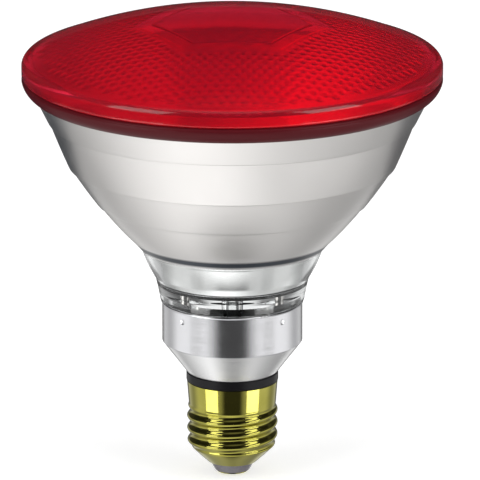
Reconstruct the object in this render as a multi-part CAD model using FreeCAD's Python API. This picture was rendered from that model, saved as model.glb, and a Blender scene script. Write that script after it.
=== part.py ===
import FreeCAD, Part
import math
import os

# An infrared heat lamp: a red pressed-glass lens, fused to a mirrored glass bowl, on a skirted screw cap.
# All sizes are in millimetres. The origin is the tip of the solder on the centre contact, and +Z runs up
# the lamp's axis to the lens. The two lead posts stand on the X axis, and the front of the lamp faces -Y.

# Tip of the cap: solder, centre contact and glass insulator
SOLDER_RADIUS = 2.6
SOLDER_HEIGHT = 0.7
CONTACT_RADIUS = 4.4
CONTACT_THICKNESS = 0.5
EYELET_RADIUS = 1.5
EYELET_HEIGHT = 2.0
INSULATOR_TIP_RADIUS = 5.0
INSULATOR_SHOWING = 2.7
INSULATOR_DEPTH = 3.6
INSULATOR_CLEARANCE = 0.12

# Screw shell: a cone, a rolled thread, a plain band and a flared rim
SHELL_WALL = 0.4
SHELL_TIP_RADIUS = 7.2
SHELL_CONE_SLOPE = 1.08
SHELL_CONE_HEIGHT = 5.6
SHELL_SHOULDER = 0.45
THREAD_CREST_RADIUS = 13.05
THREAD_ROOT_RADIUS = 12.15
THREAD_PITCH = 3.629
THREAD_HEIGHT = 11.8
THREAD_FADE = 1.6
THREAD_START_ANGLE = 260.0
BAND_RADIUS = 12.7
BAND_HEIGHT = 6.8
SHELL_RIM_RADIUS = 13.05
SHELL_RIM_HEIGHT = 1.0

# Black insulating ring between the shell and the skirt
RING_RADIUS = 13.2
RING_HEIGHT = 2.9
RING_BORE = 10.6
RING_SPIGOT_CLEARANCE = 0.15
RING_SPIGOT_DOWN = 2.2
RING_SPIGOT_UP = 1.6
RING_EDGE = 0.35

# Aluminium skirt: a lip, a cone, a cylinder and a rolled bead
SKIRT_WALL = 0.5
SKIRT_RADIUS = 20.1
SKIRT_LIP_RADIUS = 13.1
SKIRT_CONE_HEIGHT = 9.3
SKIRT_CYLINDER_HEIGHT = 12.0
SKIRT_BEAD_RADIUS = 0.4
CRIMP_COUNT = 4
CRIMP_PUNCH_RADIUS = 1.6
CRIMP_DEPTH = 0.22
CRIMP_BELOW_RIM = 3.1

# Glass collar and neck of the bowl, up from the skirt
COLLAR_CLEARANCE = 0.25
COLLAR_WALL = 2.6
COLLAR_DEPTH = 9.0
COLLAR_SHOULDER_GAP = 0.1
NECK_FOOT_RADIUS = 20.6
NECK_WAIST_RADIUS = 22.0
NECK_WAIST_HEIGHT = 6.8
NECK_TOP_RADIUS = 25.9
NECK_TOP_HEIGHT = 15.2
NECK_FOOT_BULGE = 0.08
NECK_TOP_BULGE = 0.25

# Mirror paraboloid inside the bowl, the well below it, and the bands of the glass outside it
MIRROR_FOCAL_LENGTH = 13.5
MIRROR_ABOVE_SKIRT = 7.9
MIRROR_DEPTH = 58.1
WELL_TOP_WALL = 3.5
WELL_FOOT_WALL = 3.8
WELL_CORNER_RADIUS = 2.4
HEEL_BELOW_VERTEX = 5.8
HEEL_THICKNESS = 2.6
BAND_MIRROR_RADII = (54.2, 50.3, 43.2, 35.9, 26.1)
BAND_TOP_WALLS = (2.4, 2.25, 3.8, 3.35)
BAND_FOOT_WALLS = (2.6, 4.2, 3.7, 3.35)

# Flange of the bowl and rim of the lens, which are fused at a grooved seam
RIM_RADIUS = 59.9
FLANGE_ROLL_WIDTH = 2.9
FLANGE_STRAIGHT = 0.5
FLANGE_ROLL_BULGE = 0.55
SEAM_GROOVE = 0.55
LENS_ROLL_WIDTH = 2.1
LENS_RIM_HEIGHT = 5.4
LENS_ROLL_HEIGHT = 2.0
LENS_ROLL_BULGE = 0.45
LENS_DOME_RISE = 11.6
LENS_WALL = 3.4
PANEL_HEX_RADIUS = 22.0
PANEL_DEPTH = 0.6
BORDER_HEX_RADIUS = 26.4
BORDER_DEPTH = 0.3

# Ferrules under the heel, and the posts that stand in them
FERRULE_OFFSET = 9.0
FERRULE_RADIUS = 2.9
FERRULE_HEIGHT = 6.4
FERRULE_WALL = 0.5
BOSS_RADIUS = 4.6
BOSS_FOOT_RADIUS = 3.6
BOSS_HEIGHT = 2.9
POST_RADIUS = 0.9
POST_HOLE_CLEARANCE = 0.3
POST_ABOVE_FOCUS = 1.6

# Filament at the mirror's focus, its hooks and the glass bridge that holds them
COIL_RADIUS = 0.85
COIL_END_GAP = 1.1
COIL_TAIL_RADIUS = 0.3
HOOK_OFFSET = 3.2
HOOK_WIRE_RADIUS = 0.25
HOOK_CLEARANCE = 0.15
HOOK_BITE = 0.8
BRIDGE_RADIUS = 1.5
BRIDGE_BELOW_FOCUS = 6.2
BRIDGE_OVERHANG = 2.0

# Exhaust tube under the heel
EXHAUST_RADIUS = 3.2
EXHAUST_BORE = 1.7
EXHAUST_FLARE_RADIUS = 4.1
EXHAUST_FLARE_HEIGHT = 1.6
EXHAUST_FLARE_HOLLOW = 0.32
EXHAUST_LENGTH = 13.0
EXHAUST_TIP_HEIGHT = 2.6
EXHAUST_TIP_BULGE = 0.65

# Wires below the ferrules, the fuse sleeve and the joint on the shell
LEAD_RADIUS = 0.4
LEAD_CLEARANCE = 0.1
LEAD_BEND_RADIUS = 4.0
CONTACT_LEAD_DROP = 10.0
CONTACT_LEAD_SLANT = 10.0
SHELL_LEAD_TURN = 2.0
SHELL_JOINT_BELOW_RING = 5.0
SHELL_LEAD_BEND_RADIUS = 2.0
SHELL_SOLDER_RADIUS = 1.1
SHELL_SOLDER_CLEARANCE = 0.05
FUSE_SLEEVE_RADIUS = 1.3
FUSE_SLEEVE_LENGTH = 9.0
FUSE_SLEEVE_BELOW_RING = 5.0

# Rings that the rolled shell is drawn through, and the steps that its inside is worked out in
SHELL_POINTS_AROUND = 24
SHELL_RINGS_PER_PITCH = 8
SHELL_CONE_RINGS = 2
SHELL_RIM_RINGS = 4
SHELL_SLOPE_STEP = 0.04
INSULATOR_SEAT_STEPS = 3

# Heights along the axis, each worked out from the one below it
contact_z = SOLDER_HEIGHT
insulator_z = contact_z + CONTACT_THICKNESS
shell_z = insulator_z + INSULATOR_SHOWING
thread_z = shell_z + SHELL_CONE_HEIGHT
band_z = thread_z + THREAD_HEIGHT
ring_z = band_z + BAND_HEIGHT
ring_top_z = ring_z + RING_HEIGHT
skirt_edge_z = ring_top_z + SKIRT_CONE_HEIGHT
skirt_top_z = skirt_edge_z + SKIRT_CYLINDER_HEIGHT
vertex_z = skirt_top_z + MIRROR_ABOVE_SKIRT
focus_z = vertex_z + MIRROR_FOCAL_LENGTH
seam_z = vertex_z + MIRROR_DEPTH
mirror_rim_radius = math.sqrt(4 * MIRROR_FOCAL_LENGTH * MIRROR_DEPTH)
heel_z = vertex_z - HEEL_BELOW_VERTEX
floor_z = heel_z + HEEL_THICKNESS
boss_z = heel_z - BOSS_HEIGHT
ferrule_z = boss_z - FERRULE_HEIGHT
bridge_z = focus_z - BRIDGE_BELOW_FOCUS

AXIS = FreeCAD.Vector(0, 0, 1)
ORIGIN = FreeCAD.Vector(0, 0, 0)


def at(x, z):
    """A point of the XZ plane."""
    return FreeCAD.Vector(x, 0, z)


def line(start, end):
    return Part.LineSegment(start, end).toShape()


def arc(start, middle, end):
    return Part.Arc(start, middle, end).toShape()


def bulge(start, end, rise):
    """Arc between two points, whose middle stands off the chord by rise, to the right of its run."""
    chord = end - start
    side = FreeCAD.Vector(chord.z, 0, -chord.x).normalize()
    return arc(start, (start + end) * 0.5 + side * rise, end)


def outline(*points):
    """Straight edges through the points, in order."""
    return [line(start, end) for start, end in zip(points, points[1:])]


def turned(edges):
    """Solid that the closed outline makes when it turns once round the axis."""
    face = Part.Face(Part.Wire(Part.__sortEdges__(edges)))
    return face.revolve(ORIGIN, AXIS, 360)


def rod(x, z, radius, height):
    """Upright cylinder that stands on height z."""
    return Part.makeCylinder(radius, height, at(x, z))


def crossbar(start_x, end_x, z, radius):
    """Cylinder along the X axis."""
    return Part.makeCylinder(radius, end_x - start_x, at(start_x, z), FreeCAD.Vector(1, 0, 0))


def bent_wire(points, radius, bend):
    """Round wire along straight runs, with a tangent arc of radius bend at each inner point."""
    edges = []
    here = points[0]
    for before, corner, after in zip(points, points[1:], points[2:]):
        inward = (before - corner).normalize()
        outward = (after - corner).normalize()
        half = inward.getAngle(outward) / 2
        reach = bend / math.tan(half)
        toward_centre = (inward + outward).normalize()
        middle = corner + toward_centre * (bend / math.sin(half) - bend)
        entry = corner + inward * reach
        leaving = corner + outward * reach
        edges.append(line(here, entry))
        edges.append(arc(entry, middle, leaving))
        here = leaving
    edges.append(line(here, points[-1]))
    circle = Part.makeCircle(radius, points[0], points[1] - points[0])
    return Part.Wire(edges).makePipeShell([Part.Wire(circle)], True, False)


def ease(value):
    """Smooth step from 0 to 1."""
    clipped = min(max(value, 0.0), 1.0)
    return clipped * clipped * (3 - 2 * clipped)


# The screw shell's radius, as a function of height and angle

shell_angles = [2 * math.pi * index / SHELL_POINTS_AROUND for index in range(SHELL_POINTS_AROUND)]
thread_mean = (THREAD_CREST_RADIUS + THREAD_ROOT_RADIUS) / 2
thread_depth = (THREAD_CREST_RADIUS - THREAD_ROOT_RADIUS) / 2


def shell_body(z):
    """Radius without the thread: a cone that rounds into the thread's mean radius, then band and rim."""
    cone = SHELL_TIP_RADIUS + SHELL_CONE_SLOPE * (z - shell_z)
    half_gap = (cone - thread_mean) / 2
    body = (cone + thread_mean) / 2 - math.hypot(half_gap, SHELL_SHOULDER)
    to_band = ease((z - band_z + THREAD_FADE) / THREAD_FADE)
    to_rim = ease((z - ring_z + SHELL_RIM_HEIGHT) / SHELL_RIM_HEIGHT)
    body += (BAND_RADIUS - body) * to_band
    return body + (SHELL_RIM_RADIUS - BAND_RADIUS) * to_rim


def shell_outside(z, angle):
    """Radius with the thread, a right-hand wave round the shell that fades in and out at its two ends."""
    fade = ease((z - thread_z + THREAD_FADE) / THREAD_FADE) * ease((band_z - z) / THREAD_FADE)
    turn = z / THREAD_PITCH - (angle - math.radians(THREAD_START_ANGLE)) / (2 * math.pi)
    return shell_body(z) + thread_depth * fade * math.cos(2 * math.pi * turn)


def shell_inside(z, angle):
    """Radius of the inner face, one wall away from the outer face square to its slope."""
    above = shell_outside(z + SHELL_SLOPE_STEP, angle)
    below = shell_outside(z - SHELL_SLOPE_STEP, angle)
    slope = (above - below) / (2 * SHELL_SLOPE_STEP)
    return shell_outside(z, angle) - SHELL_WALL * math.hypot(1, slope)


def shell_heights():
    """Heights of the shell's rings: close together in the thread and rim, far apart where it is plain."""
    thread_foot = thread_z - THREAD_FADE
    thread_rings = math.ceil((band_z - thread_foot) / THREAD_PITCH * SHELL_RINGS_PER_PITCH)
    rim_foot = ring_z - SHELL_RIM_HEIGHT
    spans = (
        (shell_z, thread_foot, SHELL_CONE_RINGS),
        (thread_foot, band_z, thread_rings),
        (rim_foot, ring_z, SHELL_RIM_RINGS))
    heights = [band_z, ring_z]
    for low, high, count in spans:
        heights += [low + (high - low) * index / count for index in range(count)]
    return sorted(heights)


def rolled_body(radius_at, overrun):
    """Solid through closed rings of the rolled form, whose two end rings stand off the ends by overrun."""
    heights = shell_heights()
    heights[0] -= overrun
    heights[-1] += overrun
    rings = []
    for z in heights:
        points = []
        for angle in shell_angles:
            radius = radius_at(z, angle)
            points.append(FreeCAD.Vector(radius * math.cos(angle), radius * math.sin(angle), z))
        curve = Part.BSplineCurve()
        curve.interpolate(Points=points, PeriodicFlag=True)
        rings.append(Part.Wire(curve.toShape()))
    return Part.makeLoft(rings, True, True)


def screw_shell():
    """Thin rolled shell: its inside follows its outside."""
    return rolled_body(shell_outside, 0).cut(rolled_body(shell_inside, SHELL_WALL))


def contact_solder():
    """Low dome of solder under the contact."""
    rim = at(SOLDER_RADIUS, contact_z)
    ball = (SOLDER_RADIUS ** 2 + SOLDER_HEIGHT ** 2) / (2 * SOLDER_HEIGHT)
    half = math.asin(SOLDER_RADIUS / ball) / 2
    middle = at(ball * math.sin(half), ball - ball * math.cos(half))
    return turned([arc(ORIGIN, middle, rim)] + outline(rim, at(0, contact_z), ORIGIN))


def centre_contact():
    """Disc with a short eyelet that rises into the insulator, bored for the lead."""
    bore = LEAD_RADIUS + LEAD_CLEARANCE
    eyelet_top = insulator_z + EYELET_HEIGHT
    return turned(outline(
        at(bore, contact_z), at(CONTACT_RADIUS, contact_z), at(CONTACT_RADIUS, insulator_z),
        at(EYELET_RADIUS, insulator_z), at(EYELET_RADIUS, eyelet_top), at(bore, eyelet_top),
        at(bore, contact_z)))


def cap_insulator():
    """Glass plug: a cone that shows below the shell, and a part that fills the shell's own cone."""
    bore = LEAD_RADIUS + LEAD_CLEARANCE
    eyelet_top = insulator_z + EYELET_HEIGHT
    seat = []
    for step in range(INSULATOR_SEAT_STEPS + 1):
        z = shell_z + INSULATOR_DEPTH * step / INSULATOR_SEAT_STEPS
        inner = min(shell_inside(z, angle) for angle in shell_angles)
        seat.append(at(inner - INSULATOR_CLEARANCE, z))
    return turned(outline(
        at(EYELET_RADIUS, insulator_z), at(INSULATOR_TIP_RADIUS, insulator_z), *seat,
        at(bore, seat[-1].z), at(bore, eyelet_top), at(EYELET_RADIUS, eyelet_top),
        at(EYELET_RADIUS, insulator_z)))


def insulating_ring():
    """Flange between shell and skirt, with a spigot down into the shell and one up into the skirt."""
    spigot = BAND_RADIUS - SHELL_WALL - RING_SPIGOT_CLEARANCE
    foot_z = ring_z - RING_SPIGOT_DOWN
    head_z = ring_top_z + SKIRT_WALL + RING_SPIGOT_UP
    return turned(outline(
        at(RING_BORE, foot_z), at(spigot, foot_z), at(spigot, ring_z),
        at(RING_RADIUS - RING_EDGE, ring_z), at(RING_RADIUS, ring_z + RING_EDGE),
        at(RING_RADIUS, ring_top_z - RING_EDGE), at(RING_RADIUS - RING_EDGE, ring_top_z),
        at(spigot, ring_top_z), at(spigot, head_z), at(RING_BORE, head_z), at(RING_BORE, foot_z)))


def crimps(radius, depth):
    """Ring of round punches, which dimple the skirt where they meet it."""
    reach = radius + CRIMP_PUNCH_RADIUS - depth
    z = skirt_top_z - CRIMP_BELOW_RIM
    punches = []
    for index in range(CRIMP_COUNT):
        angle = math.radians(360 * (index + 0.5) / CRIMP_COUNT)
        centre = FreeCAD.Vector(reach * math.cos(angle), reach * math.sin(angle), z)
        punches.append(Part.makeSphere(CRIMP_PUNCH_RADIUS, centre))
    return Part.makeCompound(punches)


def cap_skirt():
    """Spun sheet with a lip on the ring, a cone, a cylinder and a bead, crimped on to the glass collar."""
    inner = SKIRT_RADIUS - SKIRT_WALL
    lip_bore = BAND_RADIUS - SHELL_WALL
    lip_inner = SKIRT_LIP_RADIUS - SKIRT_WALL
    cone_angle = math.atan2(SKIRT_RADIUS - SKIRT_LIP_RADIUS, SKIRT_CONE_HEIGHT)
    wall_rise = SKIRT_WALL * math.tan(cone_angle / 2)
    bead_z = skirt_top_z - SKIRT_BEAD_RADIUS
    bead_centre = inner + SKIRT_BEAD_RADIUS
    bead_foot = at(SKIRT_RADIUS, bead_z - SKIRT_BEAD_RADIUS)
    bead_side = at(bead_centre + SKIRT_BEAD_RADIUS, bead_z)
    bead_top = at(bead_centre, skirt_top_z)
    bead_inner = at(inner, bead_z)
    quarter = SKIRT_BEAD_RADIUS * math.sqrt(0.5)
    edges = outline(
        at(inner, bead_z), at(inner, skirt_edge_z + wall_rise), at(lip_inner, ring_top_z + SKIRT_WALL),
        at(lip_bore, ring_top_z + SKIRT_WALL), at(lip_bore, ring_top_z),
        at(SKIRT_LIP_RADIUS, ring_top_z), at(SKIRT_RADIUS, skirt_edge_z), bead_foot)
    edges.append(arc(bead_foot, at(bead_centre + quarter, bead_z - quarter), bead_side))
    edges.append(arc(bead_side, at(bead_centre + quarter, bead_z + quarter), bead_top))
    edges.append(arc(bead_top, at(bead_centre - quarter, bead_z + quarter), bead_inner))
    sheet = turned(edges)
    dents = crimps(SKIRT_RADIUS, CRIMP_DEPTH)
    inner_half = rod(0, skirt_edge_z, inner + (SKIRT_WALL - CRIMP_DEPTH) / 2, SKIRT_CYLINDER_HEIGHT)
    bumps = crimps(inner, CRIMP_DEPTH).common(inner_half)
    return sheet.cut(dents).fuse(bumps).removeSplitter()


def mirror_point(radius):
    """Point of the paraboloid at this radius."""
    return at(radius, vertex_z + radius * radius / (4 * MIRROR_FOCAL_LENGTH))


def behind_mirror(radius, wall):
    """Point of the glass's outer face, one wall behind the mirror, square to it."""
    slope = radius / (2 * MIRROR_FOCAL_LENGTH)
    away = FreeCAD.Vector(slope, 0, -1).normalize()
    return mirror_point(radius) + away * wall


def band_edges():
    """Outer bands of the bowl from the flange down, each an arc, with a small ledge below it."""
    edges = []
    previous = None
    for index, top_wall in enumerate(BAND_TOP_WALLS):
        foot_wall = BAND_FOOT_WALLS[index]
        top_radius = BAND_MIRROR_RADII[index]
        foot_radius = BAND_MIRROR_RADII[index + 1]
        top = behind_mirror(top_radius, top_wall)
        middle = behind_mirror((top_radius + foot_radius) / 2, (top_wall + foot_wall) / 2)
        foot = behind_mirror(foot_radius, foot_wall)
        if previous is not None:
            edges.append(line(previous, top))
        edges.append(arc(top, middle, foot))
        previous = foot
    return edges


def mirror_edge(inner_radius):
    """The paraboloid's own curve, from inner_radius up to the seam."""
    handle = at((inner_radius + mirror_rim_radius) / 2,
                vertex_z + inner_radius * mirror_rim_radius / (4 * MIRROR_FOCAL_LENGTH))
    curve = Part.BezierCurve()
    curve.setPoles([mirror_point(inner_radius), handle, mirror_point(mirror_rim_radius)])
    return curve.toShape()


collar_radius = SKIRT_RADIUS - SKIRT_WALL - COLLAR_CLEARANCE
collar_bore = collar_radius - COLLAR_WALL
collar_foot_z = skirt_top_z - COLLAR_DEPTH
shoulder_z = skirt_top_z + COLLAR_SHOULDER_GAP
seal_radius = RIM_RADIUS - SEAM_GROOVE
lens_shoulder_radius = RIM_RADIUS - LENS_ROLL_WIDTH


def bosses():
    """The two glass cones under the heel that carry the ferrules."""
    cones = []
    for x in (-FERRULE_OFFSET, FERRULE_OFFSET):
        cones.append(Part.makeCone(BOSS_FOOT_RADIUS, BOSS_RADIUS, BOSS_HEIGHT, at(x, boss_z)))
    return cones


def reflector():
    """Glass bowl with its flange, terraces, neck, collar, and a well with a bored floor."""
    bands = band_edges()
    bowl_top = bands[0].Vertexes[0].Point
    bowl_foot = bands[-1].Vertexes[-1].Point
    roll_start = at(RIM_RADIUS, seam_z - SEAM_GROOVE)
    roll_middle = at(RIM_RADIUS, roll_start.z - FLANGE_STRAIGHT)
    roll_end = at(RIM_RADIUS - FLANGE_ROLL_WIDTH, bowl_top.z)
    neck_top = at(NECK_TOP_RADIUS, skirt_top_z + NECK_TOP_HEIGHT)
    waist = at(NECK_WAIST_RADIUS, skirt_top_z + NECK_WAIST_HEIGHT)
    foot = at(NECK_FOOT_RADIUS, shoulder_z)
    well_top = mirror_point(NECK_TOP_RADIUS - WELL_TOP_WALL)
    well_foot = at(NECK_WAIST_RADIUS - WELL_FOOT_WALL, floor_z + WELL_CORNER_RADIUS)
    corner_centre = well_foot - at(WELL_CORNER_RADIUS, 0)
    corner_middle = corner_centre + at(1, -1).normalize() * WELL_CORNER_RADIUS
    corner_end = corner_centre - at(0, WELL_CORNER_RADIUS)
    edges = [mirror_edge(well_top.x), line(well_foot, well_top), arc(corner_end, corner_middle, well_foot)]
    edges += outline(at(mirror_rim_radius, seam_z), at(seal_radius, seam_z), roll_start, roll_middle)
    edges.append(bulge(roll_end, roll_middle, FLANGE_ROLL_BULGE))
    edges.append(line(roll_end, bowl_top))
    edges += bands
    edges.append(line(bowl_foot, neck_top))
    edges.append(bulge(waist, neck_top, NECK_TOP_BULGE))
    edges.append(bulge(foot, waist, -NECK_FOOT_BULGE))
    edges += outline(
        foot, at(collar_radius, shoulder_z), at(collar_radius, collar_foot_z),
        at(collar_bore, collar_foot_z), at(collar_bore, heel_z), at(EXHAUST_BORE, heel_z),
        at(EXHAUST_BORE, floor_z), corner_end)
    glass = turned(edges).fuse(bosses())
    hole = POST_RADIUS + POST_HOLE_CLEARANCE
    holes = [rod(x, boss_z - BOSS_HEIGHT, hole, MIRROR_DEPTH) for x in (-FERRULE_OFFSET, FERRULE_OFFSET)]
    return glass.cut(holes).removeSplitter()


def hexagon(radius, height):
    """Hexagonal prism up from the seam, with two of its corners on the X axis."""
    corners = []
    for index in range(7):
        angle = math.radians(60 * index)
        corners.append(FreeCAD.Vector(radius * math.cos(angle), radius * math.sin(angle), seam_z))
    return Part.Face(Part.makePolygon(corners)).extrude(AXIS * height)


def lens():
    """Domed glass with a rolled rim, and a plain hexagon and its border pressed into the inside."""
    shoulder_top = seam_z + LENS_RIM_HEIGHT
    apex_z = shoulder_top + LENS_DOME_RISE
    dome = (lens_shoulder_radius ** 2 + LENS_DOME_RISE ** 2) / (2 * LENS_DOME_RISE)
    centre_z = apex_z - dome
    inner_dome = dome - LENS_WALL
    half_turn = math.asin(lens_shoulder_radius / dome) / 2
    inner_rim_z = centre_z + math.sqrt(inner_dome ** 2 - mirror_rim_radius ** 2)
    inner_half = math.asin(mirror_rim_radius / inner_dome) / 2
    apex = at(0, apex_z)
    shoulder = at(lens_shoulder_radius, shoulder_top)
    roll_end = at(RIM_RADIUS, shoulder_top - LENS_ROLL_HEIGHT)
    inner_apex = at(0, centre_z + inner_dome)
    inner_shoulder = at(mirror_rim_radius, inner_rim_z)
    edges = [arc(apex, at(dome * math.sin(half_turn), centre_z + dome * math.cos(half_turn)), shoulder)]
    edges.append(bulge(roll_end, shoulder, LENS_ROLL_BULGE))
    edges += outline(
        roll_end, at(RIM_RADIUS, seam_z + SEAM_GROOVE), at(seal_radius, seam_z),
        at(mirror_rim_radius, seam_z), inner_shoulder)
    edges.append(arc(
        inner_shoulder,
        at(inner_dome * math.sin(inner_half), centre_z + inner_dome * math.cos(inner_half)), inner_apex))
    edges.append(line(inner_apex, apex))
    glass = turned(edges)
    for radius, depth in ((BORDER_HEX_RADIUS, BORDER_DEPTH), (PANEL_HEX_RADIUS, PANEL_DEPTH)):
        ball = Part.makeSphere(inner_dome + depth, at(0, centre_z))
        glass = glass.cut(hexagon(radius, apex_z - seam_z).common(ball))
    return glass


def ferrule(x):
    """Metal cup, open towards the boss that it is sealed to."""
    cup = rod(x, ferrule_z, FERRULE_RADIUS, FERRULE_HEIGHT)
    return cup.cut(rod(x, ferrule_z + FERRULE_WALL, FERRULE_RADIUS - FERRULE_WALL, FERRULE_HEIGHT))


def coil_tails():
    """The filament's straight ends, which run out through the posts."""
    end = FERRULE_OFFSET + POST_RADIUS
    return crossbar(-end, end, focus_z, COIL_TAIL_RADIUS)


def lead_post(x):
    """Stiff wire from the cup's floor to just past the filament, drilled for the filament's end."""
    foot_z = ferrule_z + FERRULE_WALL
    post = rod(x, foot_z, POST_RADIUS, focus_z + POST_ABOVE_FOCUS - foot_z)
    return post.cut(coil_tails())


def filament():
    """The coil's outer shape, with its two tails."""
    half = FERRULE_OFFSET - POST_RADIUS - COIL_END_GAP
    return crossbar(-half, half, focus_z, COIL_RADIUS).fuse(coil_tails()).removeSplitter()


def filament_hook(x):
    """Thin wire that stands in the bridge, with a loop round the coil."""
    loop_radius = COIL_RADIUS + HOOK_CLEARANCE + HOOK_WIRE_RADIUS
    foot_z = bridge_z + BRIDGE_RADIUS - HOOK_BITE
    stem = rod(x, foot_z, HOOK_WIRE_RADIUS, focus_z - loop_radius - foot_z)
    loop = Part.makeTorus(loop_radius, HOOK_WIRE_RADIUS, at(x, focus_z), FreeCAD.Vector(1, 0, 0))
    return stem.fuse(loop).removeSplitter()


def support_bridge():
    """Glass rod melted round both posts and the feet of the hooks."""
    reach = FERRULE_OFFSET + BRIDGE_OVERHANG
    glass = crossbar(-reach, reach, bridge_z, BRIDGE_RADIUS)
    for x in (-FERRULE_OFFSET, FERRULE_OFFSET):
        glass = glass.cut(rod(x, bridge_z - 2 * BRIDGE_RADIUS, POST_RADIUS, 4 * BRIDGE_RADIUS))
    for x in (-HOOK_OFFSET, HOOK_OFFSET):
        glass = glass.cut(rod(x, bridge_z + BRIDGE_RADIUS - HOOK_BITE, HOOK_WIRE_RADIUS, BRIDGE_RADIUS))
    return glass


def exhaust_tube():
    """Pump tube with a flare where it is fused to the heel, and a melted tip."""
    tip_z = heel_z - EXHAUST_LENGTH
    wall = EXHAUST_RADIUS - EXHAUST_BORE
    tip_start = tip_z + EXHAUST_TIP_HEIGHT
    edges = outline(
        at(0, tip_start + wall), at(EXHAUST_BORE, tip_start + wall + EXHAUST_BORE),
        at(EXHAUST_BORE, heel_z), at(EXHAUST_FLARE_RADIUS, heel_z))
    edges.append(bulge(
        at(EXHAUST_RADIUS, heel_z - EXHAUST_FLARE_HEIGHT), at(EXHAUST_FLARE_RADIUS, heel_z),
        -EXHAUST_FLARE_HOLLOW))
    edges.append(line(at(EXHAUST_RADIUS, heel_z - EXHAUST_FLARE_HEIGHT), at(EXHAUST_RADIUS, tip_start)))
    edges.append(bulge(at(0, tip_z), at(EXHAUST_RADIUS, tip_start), EXHAUST_TIP_BULGE))
    edges.append(line(at(0, tip_z), at(0, tip_start + wall)))
    return turned(edges)


def contact_lead():
    """Wire from the left ferrule down to the solder under the centre contact."""
    turn_z = ferrule_z - CONTACT_LEAD_DROP
    return bent_wire(
        (at(-FERRULE_OFFSET, ferrule_z), at(-FERRULE_OFFSET, turn_z), at(0, turn_z - CONTACT_LEAD_SLANT),
         at(0, contact_z)),
        LEAD_RADIUS, LEAD_BEND_RADIUS)


def fuse_sleeve():
    """Glass sleeve round the straight part of the contact's lead."""
    z = ring_z - FUSE_SLEEVE_BELOW_RING - FUSE_SLEEVE_LENGTH
    sleeve = rod(0, z, FUSE_SLEEVE_RADIUS, FUSE_SLEEVE_LENGTH)
    return sleeve.cut(rod(0, z, LEAD_RADIUS + LEAD_CLEARANCE, FUSE_SLEEVE_LENGTH))


joint_z = ring_z - SHELL_JOINT_BELOW_RING
joint_x = BAND_RADIUS - SHELL_WALL - SHELL_SOLDER_RADIUS


def shell_lead():
    """Wire from the right ferrule, down through the ring and out to the shell's wall."""
    turn_z = ring_z - SHELL_LEAD_TURN
    return bent_wire(
        (at(FERRULE_OFFSET, ferrule_z), at(FERRULE_OFFSET, turn_z), at(joint_x, joint_z)),
        LEAD_RADIUS, SHELL_LEAD_BEND_RADIUS)


def shell_solder():
    """Drop of solder between the end of that wire and the inside of the shell."""
    wall_x = BAND_RADIUS - SHELL_WALL - SHELL_SOLDER_CLEARANCE
    drop = Part.makeSphere(SHELL_SOLDER_RADIUS, at(joint_x, joint_z))
    drop = drop.common(rod(0, joint_z - BAND_HEIGHT, wall_x, 2 * BAND_HEIGHT))
    return drop.cut(shell_lead())


nodes = {
    "lens": lens(),
    "reflector": reflector(),
    "cap_skirt": cap_skirt(),
    "insulating_ring": insulating_ring(),
    "screw_shell": screw_shell(),
    "cap_insulator": cap_insulator(),
    "centre_contact": centre_contact(),
    "contact_solder": contact_solder(),
    "ferrule_left": ferrule(-FERRULE_OFFSET),
    "ferrule_right": ferrule(FERRULE_OFFSET),
    "lead_post_left": lead_post(-FERRULE_OFFSET),
    "lead_post_right": lead_post(FERRULE_OFFSET),
    "filament": filament(),
    "filament_hook_left": filament_hook(-HOOK_OFFSET),
    "filament_hook_right": filament_hook(HOOK_OFFSET),
    "support_bridge": support_bridge(),
    "exhaust_tube": exhaust_tube(),
    "contact_lead": contact_lead(),
    "fuse_sleeve": fuse_sleeve(),
    "shell_lead": shell_lead(),
    "shell_solder": shell_solder(),
}

os.makedirs("parts", exist_ok=True)
for name, shape in nodes.items():
    box = shape.BoundBox
    print(f"{name:20s} solids {len(shape.Solids)} valid {shape.isValid()} volume {shape.Volume:10.1f}"
          f"  x {box.XMin:7.2f} {box.XMax:7.2f}  z {box.ZMin:7.2f} {box.ZMax:7.2f}")
    shape.exportStep(os.path.join("parts", name + ".step"))
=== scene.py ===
# %% [markdown]
# # An infrared heat lamp, dressed for its portrait
#
# The lamp is a red pressed-glass lens fused to a mirrored glass bowl, on a skirted brass screw cap. The
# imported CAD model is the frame: it has every piece in its place, in metres, with the tip of the cap at the
# origin and the lamp's axis along +Z. The front of the lamp faces -Y. This lesson keeps the pieces whose
# CAD shape is right, gives each a material, and works out new surfaces for those that need finer form.

# %% Load the frame
import math
import bpy
import numpy as np
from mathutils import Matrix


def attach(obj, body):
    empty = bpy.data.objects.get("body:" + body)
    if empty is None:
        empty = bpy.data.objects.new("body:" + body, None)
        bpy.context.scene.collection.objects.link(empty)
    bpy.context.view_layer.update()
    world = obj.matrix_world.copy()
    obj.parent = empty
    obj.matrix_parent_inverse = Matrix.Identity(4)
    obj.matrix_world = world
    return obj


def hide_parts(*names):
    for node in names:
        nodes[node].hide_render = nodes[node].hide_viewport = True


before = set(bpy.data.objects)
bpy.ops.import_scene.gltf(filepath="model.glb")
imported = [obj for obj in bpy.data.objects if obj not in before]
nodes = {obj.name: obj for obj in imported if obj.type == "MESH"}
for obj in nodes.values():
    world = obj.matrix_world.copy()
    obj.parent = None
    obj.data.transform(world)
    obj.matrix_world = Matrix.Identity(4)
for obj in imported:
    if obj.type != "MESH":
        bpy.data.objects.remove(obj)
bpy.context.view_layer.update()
MM = 0.001

# %% [markdown]
# ## The camera
#
# The photo was taken with a long lens from a little above: the rim of the lens is a flat ellipse. A short
# lens close by could frame the lamp as well, but its perspective would round that ellipse. A camera 2.2 m
# away with a lens of 577 mm has almost no perspective, which is what the ellipse shows.

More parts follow.
